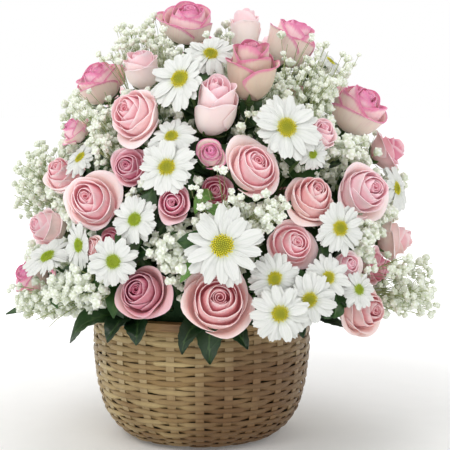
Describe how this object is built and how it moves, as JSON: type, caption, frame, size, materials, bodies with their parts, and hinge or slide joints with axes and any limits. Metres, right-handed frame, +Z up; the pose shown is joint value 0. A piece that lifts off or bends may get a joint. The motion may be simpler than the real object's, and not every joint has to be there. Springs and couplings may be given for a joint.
{
  "type": "flower basket arrangement",
  "caption": "Round woven basket holding a dome of roses, daisy chrysanthemums, baby's breath and leaves, stood in a block of floral foam inside a liner.",
  "frame": {"origin": "middle of the basket's flat base, on the surface that it stands on", "axes": "+Z up, -Y is the front of the arrangement, +X is to the right seen from the front"},
  "size_m": [0.3924, 0.3478, 0.3958],
  "materials": {
    "splint": "split bamboo, dry and matt with a faint sheen",
    "rim_splint": "split bamboo, dry and matt",
    "liner_plastic": "thin dark plastic",
    "foam": "wet floral foam",
    "rose_petal": "soft petal, pale pink with deeper edges",
    "daisy_ray": "soft white ray petals",
    "breath_floret": "papery cream florets",
    "leaf": "smooth waxy leaf"
  },
  "bodies": {
    "root": {"basket_rim": "rim_splint", "basket_weave": "splint", "breath_back_left": "breath_floret", "breath_back_right": "breath_floret", "breath_centre": "breath_floret", "breath_crown_left": "breath_floret", "breath_crown_right": "breath_floret", "breath_far_left": "breath_floret", "breath_low_left": "breath_floret", "breath_right": "breath_floret", "breath_upper_left": "breath_floret", "daisies_back_left": "daisy_ray", "daisies_back_right": "daisy_ray", "daisies_crown": "daisy_ray", "daisies_far_left": "daisy_ray", "daisies_left": "daisy_ray", "daisies_left_centre": "daisy_ray", "daisies_low_edge": "daisy_ray", "daisies_low_right": "daisy_ray", "daisies_upper_right": "daisy_ray", "daisy_crown_right": "daisy_ray", "daisy_edge_right": "daisy_ray", "daisy_front": "daisy_ray", "daisy_right": "daisy_ray", "daisy_side_right": "daisy_ray", "floral_foam": "foam", "leaves_back": "leaf", "leaves_front": "leaf", "leaves_front_left": "leaf", "leaves_left": "leaf", "leaves_right": "leaf", "liner": "liner_plastic", "rose_back_high_1": "rose_petal", "rose_back_high_3": "rose_petal", "rose_back_low_1": "rose_petal", "rose_back_low_2": "rose_petal", "rose_back_low_3": "rose_petal", "rose_back_low_4": "rose_petal", "rose_back_low_5": "rose_petal", "rose_bud_left": "rose_petal", "rose_centre": "rose_petal", "rose_centre_right": "rose_petal", "rose_crown_front": "rose_petal", "rose_crown_left": "rose_petal", "rose_crown_right": "rose_petal", "rose_dusky_left": "rose_petal", "rose_far_left": "rose_petal", "rose_left": "rose_petal", "rose_low_centre": "rose_petal", "rose_low_far_right": "rose_petal", "rose_low_left": "rose_petal", "rose_low_right": "rose_petal", "rose_mid_right": "rose_petal", "rose_right": "rose_petal", "rose_shoulder_back": "rose_petal", "rose_shoulder_left": "rose_petal", "rose_small_centre": "rose_petal", "rose_upper_centre": "rose_petal", "rose_upper_left": "rose_petal", "rose_upper_right": "rose_petal"}
  },
  "joints": []
}
